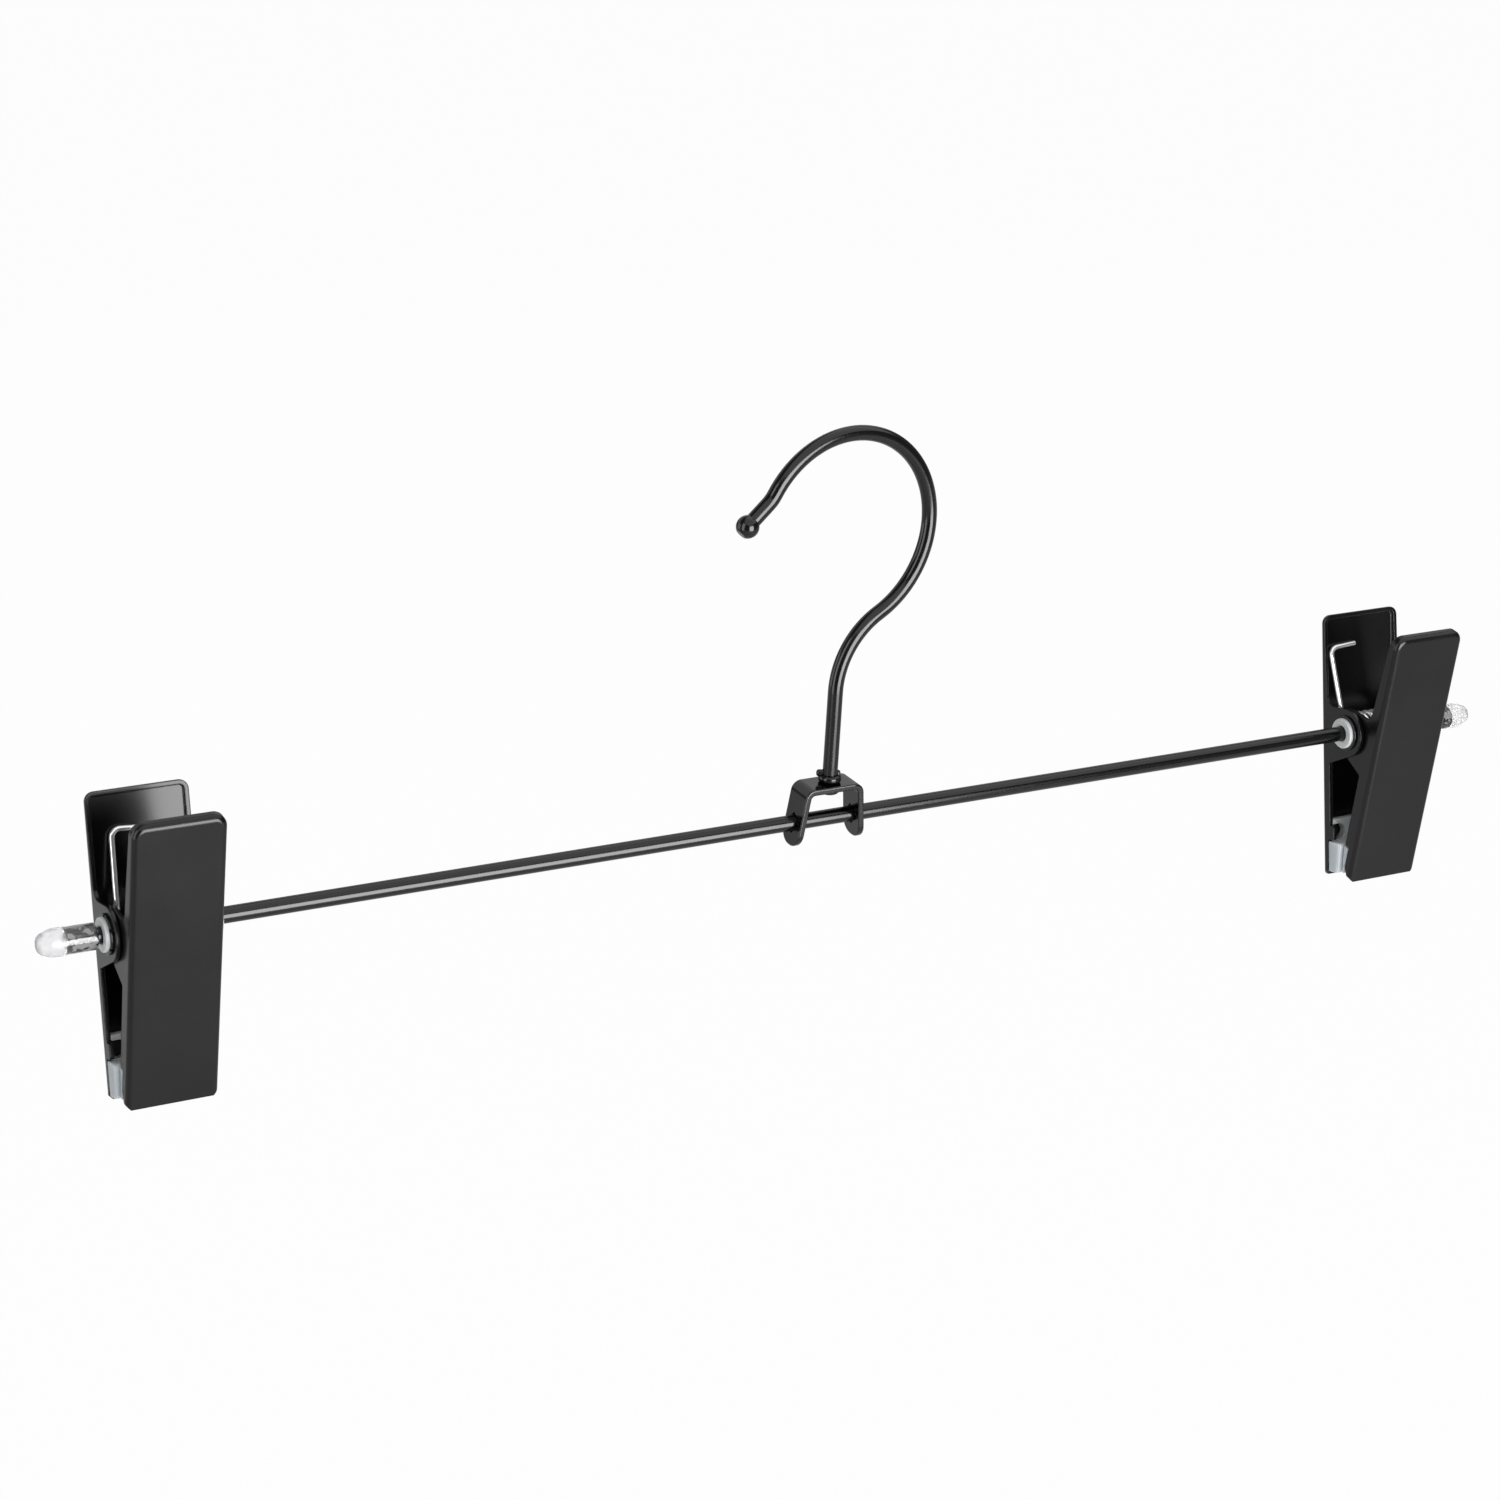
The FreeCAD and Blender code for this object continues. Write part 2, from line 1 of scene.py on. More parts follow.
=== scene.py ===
import json
import math
import bmesh
import bpy
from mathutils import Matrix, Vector


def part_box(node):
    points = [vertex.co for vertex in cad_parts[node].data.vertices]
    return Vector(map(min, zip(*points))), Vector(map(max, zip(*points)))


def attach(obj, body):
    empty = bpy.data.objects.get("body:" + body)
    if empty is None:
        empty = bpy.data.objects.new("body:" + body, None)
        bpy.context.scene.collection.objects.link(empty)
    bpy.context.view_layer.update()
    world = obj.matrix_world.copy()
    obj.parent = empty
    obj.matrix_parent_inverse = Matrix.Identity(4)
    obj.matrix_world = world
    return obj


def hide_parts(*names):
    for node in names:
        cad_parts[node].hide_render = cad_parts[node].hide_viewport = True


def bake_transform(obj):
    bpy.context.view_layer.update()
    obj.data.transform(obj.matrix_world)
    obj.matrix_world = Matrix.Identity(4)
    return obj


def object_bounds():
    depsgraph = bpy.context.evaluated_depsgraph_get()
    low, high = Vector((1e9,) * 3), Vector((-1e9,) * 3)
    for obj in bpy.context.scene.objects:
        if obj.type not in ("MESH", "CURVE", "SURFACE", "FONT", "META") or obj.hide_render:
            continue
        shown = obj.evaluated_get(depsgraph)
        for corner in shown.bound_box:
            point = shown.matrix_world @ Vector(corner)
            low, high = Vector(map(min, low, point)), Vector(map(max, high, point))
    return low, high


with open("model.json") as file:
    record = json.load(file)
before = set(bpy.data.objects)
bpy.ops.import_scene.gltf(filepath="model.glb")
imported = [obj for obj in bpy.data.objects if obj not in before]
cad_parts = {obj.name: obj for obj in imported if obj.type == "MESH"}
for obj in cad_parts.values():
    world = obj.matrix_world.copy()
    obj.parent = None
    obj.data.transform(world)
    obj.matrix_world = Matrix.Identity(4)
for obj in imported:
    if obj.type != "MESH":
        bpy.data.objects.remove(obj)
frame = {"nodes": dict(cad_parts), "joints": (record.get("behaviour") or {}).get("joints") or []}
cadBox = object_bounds()
cadNodes = frame["nodes"]
jointPlaces = {joint["name"]: Vector(joint.get("pos_m", (0, 0, 0))) for joint in frame["joints"]}
mm = 0.001
clipNames = ("left_clip_", "right_clip_")
print("frame loaded with", len(cadNodes), "nodes")

# Materials

def hexColour(code):  # sRGB hex to linear red, green, blue and alpha
    shares = [int(code[i:i + 2], 16) / 255 for i in (0, 2, 4)]
    return [c / 12.92 if c <= 0.04045 else ((c + 0.055) / 1.055) ** 2.4 for c in shares] + [1]


def addNode(tree, kind, sockets=None, **settings):  # a node with its settings, and values or links on its sockets
    node = tree.nodes.new("ShaderNode" + kind)
    for name, value in settings.items():
        setattr(node, name, value)
    for socket, value in (sockets or {}).items():
        if isinstance(value, bpy.types.NodeSocket):
            tree.links.new(value, node.inputs[socket])
        else:
            node.inputs[socket].default_value = value
    return node


def startMaterial(name, values):  # an empty material with one shader, its constant values set on the shader
    material = bpy.data.materials.new(name)
    material.use_nodes = True
    tree = material.node_tree
    shader = tree.nodes["Principled BSDF"]
    for socket, value in values.items():
        shader.inputs[socket].default_value = value
    return material, tree, shader


def perMetre(size):  # pattern scale for a feature of this many millimetres
    return 1 / (size * mm)


# Black coat: cured film over steel, deep and even, with a faint peel that breaks up the highlights
# cloud, peel, peelDepth and round are in millimetres, and stretch draws the pattern out along the bar
film = {"spread": (0.3, 0.7), "peelDepth": 0.05, "edgeSamples": 6}  # common to the three coats
jawCoat = {"name": "satin black powder coat", "dark": "050506", "pale": "0a0a0b", "cloud": 22.0, "peel": 0.9,
           "smooth": 0.20, "rough": 0.26, "bump": 0.02, "stretch": (1, 1, 1), "mirror": 0.38, "round": 0.45}
wireCoat = {"name": "semi-gloss black electro-coat on drawn wire", "dark": "040405", "pale": "090909", "cloud": 9.0,
            "peel": 0.7, "smooth": 0.14, "rough": 0.20, "bump": 0.002, "stretch": (0.06, 1, 1), "mirror": 0.46,
            "round": 0}
strapCoat = {"name": "semi-gloss black coat on strap steel", "dark": "040405", "pale": "0a0a0a", "cloud": 6.0,
             "peel": 0.8, "smooth": 0.12, "rough": 0.19, "bump": 0.02, "stretch": (1, 1, 1), "mirror": 0.5,
             "round": 0.2}


def blackCoat(coat):
    material, tree, shader = startMaterial(coat["name"], {"IOR": 1.5, "Specular IOR Level": coat["mirror"]})
    place = addNode(tree, "TexCoord").outputs["Object"]
    drawn = addNode(tree, "Mapping", {"Vector": place, "Scale": coat["stretch"]}).outputs["Vector"]
    cloud = addNode(tree, "TexNoise", {"Vector": drawn, "Scale": perMetre(coat["cloud"]), "Detail": 3.0})
    shade = addNode(tree, "ValToRGB", {"Fac": cloud.outputs["Fac"]})
    shade.color_ramp.elements[0].color = hexColour(coat["dark"])
    shade.color_ramp.elements[1].color = hexColour(coat["pale"])
    low, high = film["spread"]
    gloss = addNode(tree, "MapRange", {"Value": cloud.outputs["Fac"], "From Min": low, "From Max": high,
                                       "To Min": coat["smooth"], "To Max": coat["rough"]})
    peel = addNode(tree, "TexNoise", {"Vector": drawn, "Scale": perMetre(coat["peel"]), "Detail": 1.0})
    bump = addNode(tree, "Bump", {"Height": peel.outputs["Fac"], "Strength": coat["bump"],
                                  "Distance": film["peelDepth"] * mm})
    if coat["round"]:  # the film rounds the cut edges of the sheet
        edge = addNode(tree, "Bevel", {"Radius": coat["round"] * mm}, samples=film["edgeSamples"])
        tree.links.new(edge.outputs["Normal"], bump.inputs["Normal"])
    tree.links.new(shade.outputs["Color"], shader.inputs["Base Color"])
    tree.links.new(gloss.outputs["Result"], shader.inputs["Roughness"])
    tree.links.new(bump.outputs["Normal"], shader.inputs["Normal"])
    return material


# Zinc-plated spring wire: a bright line of light on a pale ground, with faint clouds of tarnish
springFinish = {"bright": "ffffff", "dull": "f4f4f4", "metal": 0.65, "cloud": 6.0, "spread": (0.35, 0.7),
                "smooth": 0.09, "rough": 0.14}


def springWire(finish):
    material, tree, shader = startMaterial("bright zinc plated spring wire", {"Metallic": finish["metal"]})
    place = addNode(tree, "TexCoord").outputs["Object"]
    cloud = addNode(tree, "TexNoise", {"Vector": place, "Scale": perMetre(finish["cloud"]), "Detail": 4.0})
    tint = addNode(tree, "ValToRGB", {"Fac": cloud.outputs["Fac"]})
    tint.color_ramp.elements[0].color = hexColour(finish["dull"])
    tint.color_ramp.elements[1].color = hexColour(finish["bright"])
    low, high = finish["spread"]
    gloss = addNode(tree, "MapRange", {"Value": cloud.outputs["Fac"], "From Min": low, "From Max": high,
                                       "To Min": finish["rough"], "To Max": finish["smooth"]})
    tree.links.new(tint.outputs["Color"], shader.inputs["Base Color"])
    tree.links.new(gloss.outputs["Result"], shader.inputs["Roughness"])
    return material


# Natural nylon, moulded: milky, light soaks in and comes out again, slight flow marks
bushFinish = {"pale": "f2f4f5", "deep": "e2e5e7", "flow": 2.5, "soakShare": 0.3, "soak": (1.2, 1.3, 1.4),
              "smooth": 0.30, "rough": 0.45}


def naturalNylon(finish):
    material, tree, shader = startMaterial("natural nylon moulded", {
        "IOR": 1.53, "Subsurface Weight": finish["soakShare"], "Subsurface Scale": mm,
        "Subsurface Radius": finish["soak"]})
    place = addNode(tree, "TexCoord").outputs["Object"]
    flow = addNode(tree, "TexNoise", {"Vector": place, "Scale": perMetre(finish["flow"]), "Detail": 3.0})
    tint = addNode(tree, "ValToRGB", {"Fac": flow.outputs["Fac"]})
    tint.color_ramp.elements[0].color = hexColour(finish["deep"])
    tint.color_ramp.elements[1].color = hexColour(finish["pale"])
    gloss = addNode(tree, "MapRange", {"Value": flow.outputs["Fac"], "To Min": finish["smooth"],
                                       "To Max": finish["rough"]})
    tree.links.new(tint.outputs["Color"], shader.inputs["Base Color"])
    tree.links.new(gloss.outputs["Result"], shader.inputs["Roughness"])
    return material


# Clear soft PVC, dipped: a milky see-through nose, with dark spots where the cap clings to the black bar
capFinish = {"tint": "fafafb", "spot": 1.6, "barEnd": 188.3, "fade": 0.9, "spread": (0.44, 0.50), "wet": 1.0,
             "dry": 0.70, "nose": 0.76, "smooth": 0.08, "rough": 0.34}


def clearVinyl(finish):
    material, tree, shader = startMaterial("clear soft PVC", {"IOR": 1.53, "Base Color": hexColour(finish["tint"])})
    place = addNode(tree, "TexCoord").outputs["Object"]
    side = addNode(tree, "SeparateXYZ", {"Vector": place}).outputs["X"]
    along = addNode(tree, "Math", {0: side}, operation="ABSOLUTE")
    onBar = addNode(tree, "MapRange", {"Value": along.outputs[0], "From Min": (finish["barEnd"] + finish["fade"]) * mm,
                                       "From Max": (finish["barEnd"] - finish["fade"]) * mm})
    spot = addNode(tree, "TexNoise", {"Vector": place, "Scale": perMetre(finish["spot"]), "Detail": 3.0})
    low, high = finish["spread"]
    touch = addNode(tree, "MapRange", {"Value": spot.outputs["Fac"], "From Min": low, "From Max": high,
                                       "To Min": finish["dry"], "To Max": finish["wet"]})
    clear = addNode(tree, "MapRange", {"Value": onBar.outputs["Result"], "To Min": finish["nose"],
                                       "To Max": touch.outputs["Result"]})
    haze = addNode(tree, "MapRange", {"Value": onBar.outputs["Result"], "To Min": finish["rough"],
                                      "To Max": finish["smooth"]})
    tree.links.new(clear.outputs["Result"], shader.inputs["Transmission Weight"])
    tree.links.new(haze.outputs["Result"], shader.inputs["Roughness"])
    return material


# Milky soft PVC, moulded: a faintly blue block under a tongue painted whiter than the block, as painted light that
# lifts the tongue out of the shade between the jaws; waxy, light soaks in and comes out again
padFinish = {"block": "d0d7dc", "tongue": "e4e6e8", "stepHeight": -31.0, "fade": 0.8, "flow": 3.0,
             "soakShare": 0.5, "soak": (1.6, 1.7, 1.8), "smooth": 0.22, "rough": 0.40, "bump": 0.1, "bumpDepth": 0.1}


def milkyVinyl(finish, pivotHeight):
    material, tree, shader = startMaterial("milky soft PVC", {
        "IOR": 1.53, "Subsurface Weight": finish["soakShare"], "Subsurface Scale": mm,
        "Subsurface Radius": finish["soak"]})
    place = addNode(tree, "TexCoord").outputs["Object"]
    height = addNode(tree, "SeparateXYZ", {"Vector": place}).outputs["Z"]
    step = pivotHeight + finish["stepHeight"] * mm
    # painted light: above the step the tongue gets a whiter colour than the block, standing in for light that the jaws
    # keep off it
    paintedLightMask = addNode(tree, "MapRange", {"Value": height, "From Min": step - finish["fade"] * mm,
                                      "From Max": step + finish["fade"] * mm})
    flow = addNode(tree, "TexNoise", {"Vector": place, "Scale": perMetre(finish["flow"]), "Detail": 3.0})
    tint = addNode(tree, "Mix", {"Factor": paintedLightMask.outputs["Result"]}, data_type="RGBA")
    tint.inputs[6].default_value = hexColour(finish["block"])  # 6, 7 and 2 are the colour sockets
    # the tongue's whiter colour is painted light, not a colour of the PVC
    tint.inputs[7].default_value = hexColour(finish["tongue"])
    gloss = addNode(tree, "MapRange", {"Value": flow.outputs["Fac"], "To Min": finish["smooth"],
                                       "To Max": finish["rough"]})
    bump = addNode(tree, "Bump", {"Height": flow.outputs["Fac"], "Strength": finish["bump"],
                                  "Distance": finish["bumpDepth"] * mm})
    tree.links.new(tint.outputs[2], shader.inputs["Base Color"])
    tree.links.new(gloss.outputs["Result"], shader.inputs["Roughness"])
    tree.links.new(bump.outputs["Normal"], shader.inputs["Normal"])
    return material


pivotHeight = jointPlaces["left_clip_swing"].z
jawBlack = blackCoat(jawCoat)
wireBlack = blackCoat(wireCoat)
strapBlack = blackCoat(strapCoat)
brightWire = springWire(springFinish)
bushNylon = naturalNylon(bushFinish)
capVinyl = clearVinyl(capFinish)
padVinyl = milkyVinyl(padFinish, pivotHeight)

nodeFinish = {"hook": wireBlack, "bar": wireBlack, "bracket": strapBlack, "end_cap": capVinyl, "jaw": jawBlack,
              "pivot_tube": strapBlack, "bush": bushNylon, "spring": brightWire, "pad": padVinyl}
for nodeName, node in cadNodes.items():
    finish = next(material for ending, material in nodeFinish.items() if nodeName.endswith(ending))
    node.data.materials.clear()
    node.data.materials.append(finish)
print("materials on", len(cadNodes), "nodes")

# Modelling helpers

close = 0.01 * mm  # room for picking vertices by their place


def deselectAll():
    if bpy.context.mode != "OBJECT":
        bpy.ops.object.mode_set(mode="OBJECT")
    bpy.ops.object.select_all(action="DESELECT")


def pickVerts(piece, wanted):  # in edit mode, select the vertices that a test accepts, and what they span
    mesh = bmesh.from_edit_mesh(piece.data)
    bpy.ops.mesh.select_all(action="DESELECT")
    bpy.ops.mesh.select_mode(type="VERT")
    for vert in mesh.verts:
        vert.select = wanted(vert.co)
    mesh.select_flush(True)
    bmesh.update_edit_mesh(piece.data)


def applyModifier(piece, kind, **settings):
    modifier = piece.modifiers.new(kind.lower(), kind)
    for name, value in settings.items():
        setattr(modifier, name, value)
    bpy.ops.object.modifier_apply(modifier=modifier.name)


# How each clip hangs and how its jaws stand, in millimetres and degrees
clip = {"lean": 3.0, "halfAngle": 8.7, "sheet": 1.0, "outerPlate": 10.2, "innerPlate": 11.4}


def hangInClip(piece, clipName):  # from the clip's own upright frame to its place on the bar
    deselectAll()
    piece.select_set(True)
    bpy.context.view_layer.objects.active = piece
    piece.rotation_euler = (-math.radians(clip["lean"]), 0, 0)
    piece.location = jointPlaces[clipName + "swing"]
    bpy.ops.object.transform_apply(location=True, rotation=True, scale=True)


# Torsion spring: a wire ring screwed round the rivet, with a leg drawn out to each jaw
spring = {"wire": 1.3, "coilRadius": 4.45, "halfLength": 8.2, "shift": 0.35, "fullTurns": 8, "legHeight": 20.9,
          "legLean": 3.6, "bendRadius": 2.0, "endLength": 6.0, "backGap": 0.15, "frontGap": 0.3, "ringSides": 16,
          "stepsPerTurn": 32, "bendSteps": 8, "ringReach": 0.6, "endBevel": 0.2, "endSteps": 2, "smoothAngle": 50.0,
          "blendReach": (5, -3, 0)}


def springSeat(plate, gap, side):  # where a leg lies on its jaw, as across and up
    turn = math.radians(clip["halfAngle"])
    depth = plate - clip["sheet"] - spring["wire"] / 2 - gap
    across = depth * math.cos(turn) + spring["legHeight"] * math.sin(turn)
    up = spring["legHeight"] * math.cos(turn) - depth * math.sin(turn)
    return Vector((0, side * across, up)) * mm


def growLeg(piece, ringCentre, seat, along, lean):  # extrude, bend and extrude again from one end ring of the coil
    straight = Vector((0, seat.y - ringCentre.y, seat.z - ringCentre.z))
    leaning = Vector((straight.length * math.tan(math.radians(lean)), 0, 0))
    corner = ringCentre + straight + leaning
    rise = (corner - ringCentre).normalized()
    sideways = (Vector((1, 0, 0)) - rise * rise.x).normalized() * along
    bend = spring["bendRadius"] * mm
    pickVerts(piece, lambda place: (place - ringCentre).length < spring["wire"] * spring["ringReach"] * mm)
    bpy.ops.mesh.extrude_edges_move(TRANSFORM_OT_translate={"value": corner - ringCentre - rise * bend})
    bpy.ops.mesh.spin(steps=spring["bendSteps"], angle=math.pi / 2, center=corner - rise * bend + sideways * bend,
                      axis=sideways.cross(rise))
    bpy.ops.mesh.extrude_edges_move(TRANSFORM_OT_translate={"value": sideways * spring["endLength"] * mm})
    bpy.ops.mesh.edge_face_add()
    bpy.ops.mesh.bevel(offset=spring["endBevel"] * mm, segments=spring["endSteps"])


def makeSpring(clipName):
    pivot = jointPlaces[clipName + "swing"]
    inward = -math.copysign(1, pivot.x)  # towards the middle of the bar, where the coil has slid
    half = spring["halfLength"] * mm
    radius = spring["coilRadius"] * mm
    backSeat = springSeat(clip["outerPlate"], spring["backGap"], 1)
    frontSeat = springSeat(clip["innerPlate"], spring["frontGap"], -1)
    firstTurn = math.atan2(backSeat.z, backSeat.y) - math.acos(radius / backSeat.length)
    lastTurn = math.atan2(frontSeat.z, frontSeat.y) + math.acos(radius / frontSeat.length)
    wound = lastTurn - firstTurn - 2 * math.pi * spring["fullTurns"]
    start = Vector((-half, radius * math.cos(firstTurn), radius * math.sin(firstTurn)))
    end = Vector((half, radius * math.cos(lastTurn), radius * math.sin(lastTurn)))
    deselectAll()
    bpy.ops.mesh.primitive_circle_add(vertices=spring["ringSides"], radius=spring["wire"] / 2 * mm, location=start,
                                      rotation=(firstTurn, 0, 0))
    piece = bpy.context.object
    piece.name = clipName + "springWire"
    bpy.ops.object.transform_apply(location=True, rotation=True)
    steps = round(abs(wound) / (2 * math.pi) * spring["stepsPerTurn"])
    applyModifier(piece, "SCREW", axis="X", angle=wound, screw_offset=2 * half, steps=steps, render_steps=steps,
                  use_merge_vertices=False)
    bpy.ops.object.mode_set(mode="EDIT")
    growLeg(piece, start, backSeat, 1, inward * spring["legLean"])
    growLeg(piece, end, frontSeat, -1, 0)
    bpy.ops.mesh.select_all(action="SELECT")
    bpy.ops.mesh.normals_make_consistent(inside=False)
    bpy.ops.object.mode_set(mode="OBJECT")
    bpy.ops.object.shade_smooth_by_angle(angle=math.radians(spring["smoothAngle"]))
    slide = Vector((inward * spring["shift"] * mm, 0, 0))
    piece.location = slide
    bpy.ops.object.transform_apply(location=True)
    hangInClip(piece, clipName)
    piece.data.materials.append(brightWire)
    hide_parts(clipName + "spring")
    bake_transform(piece)
    return piece


# Grip pads: one moulding in each jaw, a tongue between the flanges over a full width block
pad = {"top": 24.4, "shoulder": 30.2, "footGap": 1.2, "faceGap": 0.04, "sideGap": 0.05, "softEdge": 0.7, "softSteps": 4,
       "edge": 0.25, "edgeSteps": 3, "edgeAngle": 40.0, "smoothAngle": 35.0, "slotMiddle": 27.8, "slotHeight": 4.2,
       "slotDepth": 3.9, "slotSides": 32}
padJaws = {"outer": {"width": 23.6, "plate": clip["outerPlate"], "below": 39.5, "tongueDepth": 3.1, "stepDepth": 2.5,
                     "offset": -1.5, "turn": 0},
           "inner": {"width": 21.2, "plate": clip["innerPlate"], "below": 38.6, "tongueDepth": 4.4, "stepDepth": 3.0,
                     "offset": 1.5, "turn": 180}}


def gripFace(up, offset):  # how far the grip face stands from the pivot, level with a height on the jaw
    turn = math.radians(clip["halfAngle"])
    return (pad["faceGap"] + offset - up * math.sin(turn)) / math.cos(turn)


def cutSlot(piece, side, innerHalf, depth):  # a slot with a round inner end, for the lug of the jaw
    radius = pad["slotHeight"] / 2
    middle = side * (innerHalf - pad["slotDepth"] + radius) * mm
    deselectAll()
    bpy.ops.mesh.primitive_cylinder_add(vertices=pad["slotSides"], radius=radius * mm, depth=2 * depth * mm,
                                        location=(middle, depth * mm, -pad["slotMiddle"] * mm),
                                        rotation=(math.pi / 2, 0, 0))
    cutter = bpy.context.object
    bpy.ops.object.transform_apply(location=True, rotation=True)
    bpy.ops.object.mode_set(mode="EDIT")
    pickVerts(cutter, lambda place: side * (place.x - middle) > close)
    bpy.ops.transform.translate(value=(side * pad["slotDepth"] * mm, 0, 0))
    bpy.ops.object.mode_set(mode="OBJECT")
    bpy.context.view_layer.objects.active = piece
    applyModifier(piece, "BOOLEAN", object=cutter, operation="DIFFERENCE", solver="EXACT")
    bpy.data.objects.remove(cutter)


def makePad(clipName, jaw):
    size = padJaws[jaw]
    back = size["plate"] - clip["sheet"]
    tongue = size["plate"] - size["tongueDepth"]
    step = size["plate"] - size["stepDepth"]
    foot = pad["footGap"] - size["below"]
    shoulder = -pad["shoulder"]
    half = size["width"] / 2
    innerHalf = half - clip["sheet"] - pad["sideGap"]
    offset = size["offset"]
    front = gripFace(foot, offset)
    deselectAll()
    bpy.ops.mesh.primitive_cube_add(size=mm, location=Vector((0, (front + back) / 2, (foot + shoulder) / 2)) * mm,
                                    scale=(2 * innerHalf, back - front, shoulder - foot))
    piece = bpy.context.object
    piece.name = clipName + jaw + "GripPad"
    bpy.ops.object.transform_apply(location=True, rotation=True, scale=True)
    bpy.ops.object.mode_set(mode="EDIT")
    pickVerts(piece, lambda place: place.y < front * mm + close and place.z > shoulder * mm - close)
    lift = gripFace(shoulder, offset) - front  # the two grip faces stand parallel
    bpy.ops.transform.translate(value=(0, lift * mm, 0))
    for cut in (tongue, step):
        bpy.ops.mesh.select_all(action="SELECT")
        bpy.ops.mesh.bisect(plane_co=(0, cut * mm, 0), plane_no=(0, 1, 0))
    pickVerts(piece, lambda place: place.y > tongue * mm - close and place.z > shoulder * mm - close)
    bpy.ops.mesh.extrude_region_move(TRANSFORM_OT_translate={"value": (0, 0, (-pad["top"] - shoulder) * mm)})
    for side in (-1, 1):
        pickVerts(piece, lambda place: side * place.x > innerHalf * mm - close and place.y < step * mm + close
                  and place.z < shoulder * mm + close)
        bpy.ops.mesh.extrude_region_move(TRANSFORM_OT_translate={"value": (side * (half - innerHalf) * mm, 0, 0)})
    pickVerts(piece, lambda place: place.y < (gripFace(place.z / mm, offset) + pad["edge"]) * mm)
    bpy.ops.mesh.region_to_loop()
    bpy.ops.mesh.bevel(offset=pad["softEdge"] * mm, segments=pad["softSteps"])
    bpy.ops.object.mode_set(mode="OBJECT")
    applyModifier(piece, "BEVEL", width=pad["edge"] * mm, segments=pad["edgeSteps"], limit_method="ANGLE",
                  angle_limit=math.radians(pad["edgeAngle"]))
    if jaw == "outer":
        for side in (-1, 1):
            cutSlot(piece, side, innerHalf, size["plate"])
    deselectAll()
    piece.select_set(True)
    bpy.context.view_layer.objects.active = piece
    bpy.ops.object.shade_smooth_by_angle(angle=math.radians(pad["smoothAngle"]))
    piece.rotation_euler = (-math.radians(clip["halfAngle"]), 0, math.radians(size["turn"]))
    bpy.ops.object.transform_apply(location=True, rotation=True)
    hangInClip(piece, clipName)
    piece.data.materials.append(padVinyl)
    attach(piece, clipName + jaw)
    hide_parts(clipName + jaw + "_pad")
    return piece


# End caps: soft bullets with a bore for the bar and a hollow past its end
cap = {"radius": 3.15, "mouthRadius": 3.0, "boreRadius": 1.87, "nose": 3.2, "noseShare": 0.62, "shoulderBevel": 0.8,
       "shoulderSteps": 10, "tipBevel": 1.1, "tipSteps": 16, "endWall": 2.0, "rim": 0.25, "lip": 0.3, "floorBevel": 0.7,
       "innerSteps": 4, "sides": 96, "smoothAngle": 50.0}


def makeCap(name):
    low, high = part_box(name)
    side = math.copysign(1, low.x)
    mouth, tip = sorted((low.x, high.x), key=abs)
    axis = Vector((0, (low.y + high.y) / 2, (low.z + high.z) / 2))
    shoulder = tip - side * cap["nose"] * mm
    deselectAll()
    bpy.ops.mesh.primitive_cylinder_add(vertices=cap["sides"], radius=cap["radius"] * mm, depth=abs(shoulder - mouth),
                                        location=axis + Vector(((mouth + shoulder) / 2, 0, 0)),
                                        rotation=(0, side * math.pi / 2, 0))
    piece = bpy.context.object
    piece.name = name + "Vinyl"
    bpy.ops.object.transform_apply(location=True, rotation=True)
    bpy.ops.object.mode_set(mode="EDIT")
    taper = cap["mouthRadius"] / cap["radius"]
    pickVerts(piece, lambda place: abs(place.x - mouth) < close)
    bpy.ops.transform.resize(value=(1, taper, taper), center_override=axis + Vector((mouth, 0, 0)))
    pickVerts(piece, lambda place: abs(place.x - shoulder) < close)
    bpy.ops.mesh.extrude_region_move(TRANSFORM_OT_translate={"value": (tip - shoulder, 0, 0)})
    bpy.ops.transform.resize(value=(1, cap["noseShare"], cap["noseShare"]),
                             center_override=axis + Vector((tip, 0, 0)))
    for ring, width, steps in ((tip, cap["tipBevel"], cap["tipSteps"]),
                               (shoulder, cap["shoulderBevel"], cap["shoulderSteps"])):
        pickVerts(piece, lambda place: abs(place.x - ring) < close)
        bpy.ops.mesh.bevel(offset=width * mm, segments=steps)
    pickVerts(piece, lambda place: abs(place.x - mouth) < close)
    bpy.ops.mesh.inset(thickness=(cap["mouthRadius"] - cap["boreRadius"]) * mm)
    floor = tip - side * cap["endWall"] * mm
    bpy.ops.mesh.extrude_region_move(TRANSFORM_OT_translate={"value": (floor - mouth, 0, 0)})
    bpy.ops.mesh.bevel(offset=cap["floorBevel"] * mm, segments=cap["innerSteps"])
    pickVerts(piece, lambda place: abs(place.x - mouth) < close
              and (place - axis).yz.length > (cap["mouthRadius"] - cap["rim"]) * mm)
    bpy.ops.mesh.bevel(offset=cap["lip"] * mm, segments=cap["innerSteps"])
    bpy.ops.mesh.select_all(action="SELECT")
    bpy.ops.mesh.normals_make_consistent(inside=False)
    bpy.ops.object.mode_set(mode="OBJECT")
    bpy.ops.object.shade_smooth_by_angle(angle=math.radians(cap["smoothAngle"]))
    piece.data.materials.append(capVinyl)
    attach(piece, "frame")
    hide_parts(name)
    return piece


for clipName in clipNames:
    for made in (makeSpring(clipName), makePad(clipName, "outer"), makePad(clipName, "inner")):
        print(made.name, "has", len(made.data.vertices), "vertices")
for capName in ("left_end_cap", "right_end_cap"):
    made = makeCap(capName)
    print(made.name, "has", len(made.data.vertices), "vertices")

# Stage, light and camera

# Paper floor: drop below the part and size in metres, glow where it is seen, and the share of it in reflections
stage = {"drop": 0.45, "size": 7.0, "centre": (1.2, 2.2), "colour": "f5f5f4", "glow": 0.97, "mirrored": 0.25}


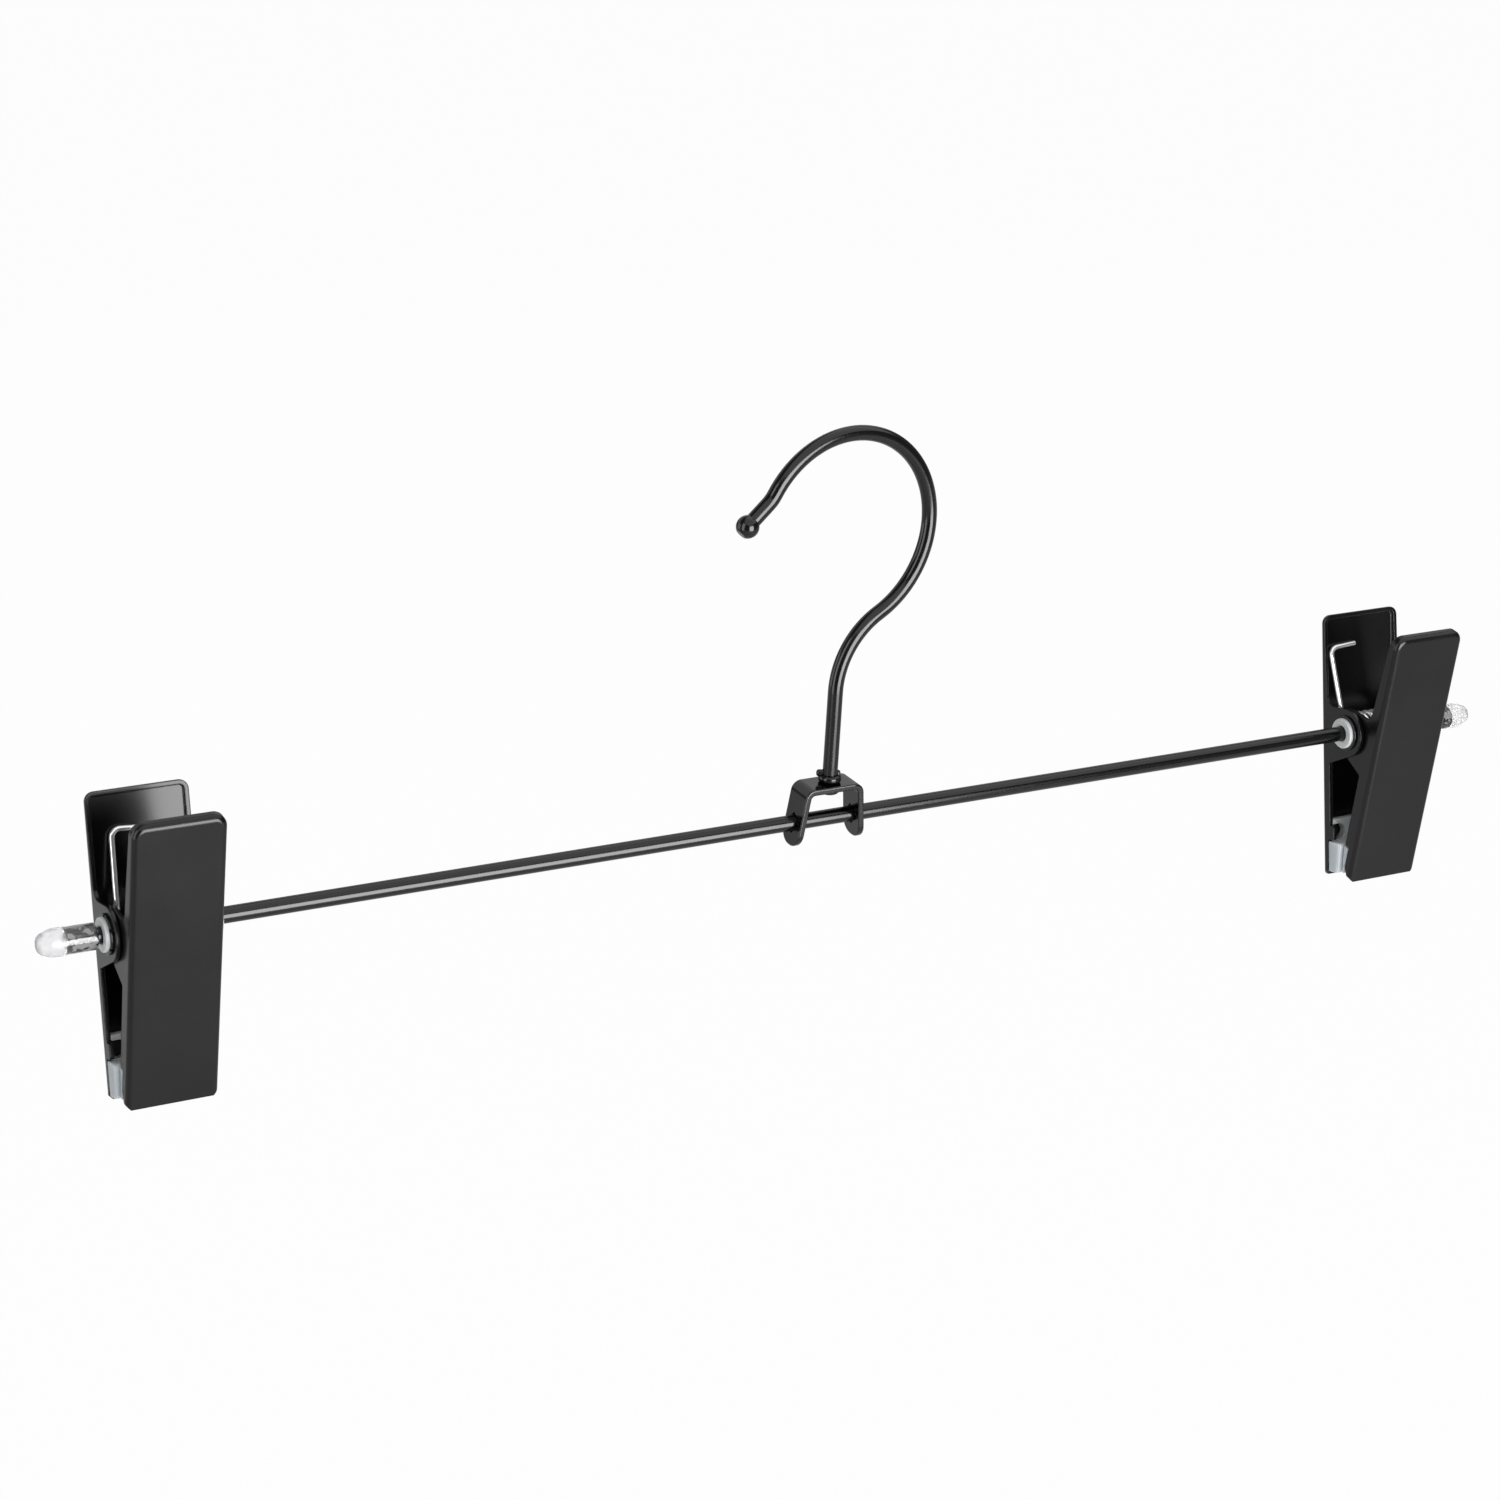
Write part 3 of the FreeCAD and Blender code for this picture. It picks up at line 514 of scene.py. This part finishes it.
def makeFloor():
    deselectAll()
    low = cadBox[0][2]
    bpy.ops.mesh.primitive_plane_add(size=stage["size"], location=(*stage["centre"], low - stage["drop"]))
    floor = bpy.context.object
    floor.name = "studioFloor"
    material = bpy.data.materials.new("white paper floor")
    material.use_nodes = True
    tree = material.node_tree
    tree.nodes.clear()
    path = addNode(tree, "LightPath").outputs
    seen = addNode(tree, "Math", {0: path["Is Camera Ray"], 1: path["Is Transmission Ray"]}, operation="MAXIMUM")
    mirrored = addNode(tree, "Math", {0: path["Is Glossy Ray"], 1: stage["mirrored"]}, operation="MULTIPLY")
    either = addNode(tree, "Math", {0: seen.outputs[0], 1: mirrored.outputs[0]}, operation="MAXIMUM")
    share = addNode(tree, "Math", {0: either.outputs[0], 1: stage["glow"]}, operation="MULTIPLY").outputs[0]
    paper = addNode(tree, "BsdfDiffuse", {"Color": hexColour(stage["colour"])}).outputs[0]
    white = addNode(tree, "Emission", {"Strength": 1.0}).outputs[0]
    mixed = addNode(tree, "MixShader", {0: share, 1: paper, 2: white}).outputs[0]
    addNode(tree, "OutputMaterial", {"Surface": mixed})
    floor.data.materials.append(material)


studio = {"fill": 0.32, "mirrored": 0.15}  # even light from all round, dimmer in reflections


def makeWorld():  # white where it is seen
    world = bpy.data.worlds.new("studio")
    bpy.context.scene.world = world
    world.use_nodes = True
    tree = world.node_tree
    path = addNode(tree, "LightPath").outputs
    seen = addNode(tree, "Math", {0: path["Is Camera Ray"], 1: path["Is Transmission Ray"]}, operation="MAXIMUM")
    lit = addNode(tree, "MapRange", {"Value": path["Is Glossy Ray"], "To Min": studio["fill"],
                                     "To Max": studio["mirrored"]})
    level = addNode(tree, "MapRange", {"Value": seen.outputs[0], "To Min": lit.outputs["Result"], "To Max": 1.0})
    back = tree.nodes["Background"]
    back.inputs["Color"].default_value = (1, 1, 1, 1)
    tree.links.new(level.outputs["Result"], back.inputs["Strength"])


# Softboxes: place and aim in metres, width and height in metres, power in watts, and watts more in reflections only
softboxes = {
    "frontBox": {"place": (0.25, -1.30, -0.06), "aim": (0, 0, -0.09), "size": (0.92, 1.02), "power": 12, "sheen": 22},
    "topBox": {"place": (0.25, -0.30, 1.15), "aim": (0, 0, -0.05), "size": (3.00, 2.00), "power": 6, "sheen": 15},
    "leftBox": {"place": (-1.30, -0.40, 0.20), "aim": (0, 0, -0.05), "size": (0.60, 1.60), "power": 1, "sheen": 9},
    "sideBox": {"place": (-1.30, 0.75, 0.00), "aim": (0, 0, -0.05), "size": (0.80, 0.90), "power": 1, "sheen": 3},
    "backBox": {"place": (0.00, 1.70, 0.75), "aim": (0, 0, 0), "size": (4.00, 1.10), "power": 4, "sheen": 5},
}
lampDepth = {"power": 1.0, "sheen": 0.98}  # the two lamps of a box stand one before the other


def makeLights():
    lamps = [(name, box, kind) for name, box in softboxes.items() for kind in lampDepth]
    for name, box, kind in lamps:
        place = Vector(box["place"]) * lampDepth[kind]
        bpy.ops.object.light_add(type="AREA", location=place)
        lamp = bpy.context.object
        lamp.name = name + kind.title()
        lamp.data.shape = "RECTANGLE"
        lamp.data.size, lamp.data.size_y = box["size"]
        lamp.data.energy = box[kind]
        lamp.visible_diffuse = kind == "power"  # the sheen shows in reflections only
        lamp.rotation_euler = (Vector(box["aim"]) - place).to_track_quat("-Z", "Y").to_euler()


# Camera of the photograph: place in millimetres, angles in degrees
photo = {"place": (-395.36, -656.13, 226.93), "pitch": 21.67, "yaw": 29.63, "roll": 3.30, "lens": 83.5, "sensor": 36.0}


def makeCamera():
    turn = (math.radians(90 - photo["pitch"]), 0, -math.radians(photo["yaw"]))
    bpy.ops.object.camera_add(location=Vector(photo["place"]) * mm, rotation=turn)
    camera = bpy.context.object
    camera.rotation_euler.rotate_axis("Z", math.radians(photo["roll"]))
    camera.data.sensor_width = photo["sensor"]
    camera.data.lens = photo["lens"]
    bpy.context.scene.camera = camera


deselectAll()
makeFloor()
makeWorld()
makeLights()
makeCamera()
bpy.context.scene.view_settings.view_transform = "Standard"
print("stage, lights and camera set")
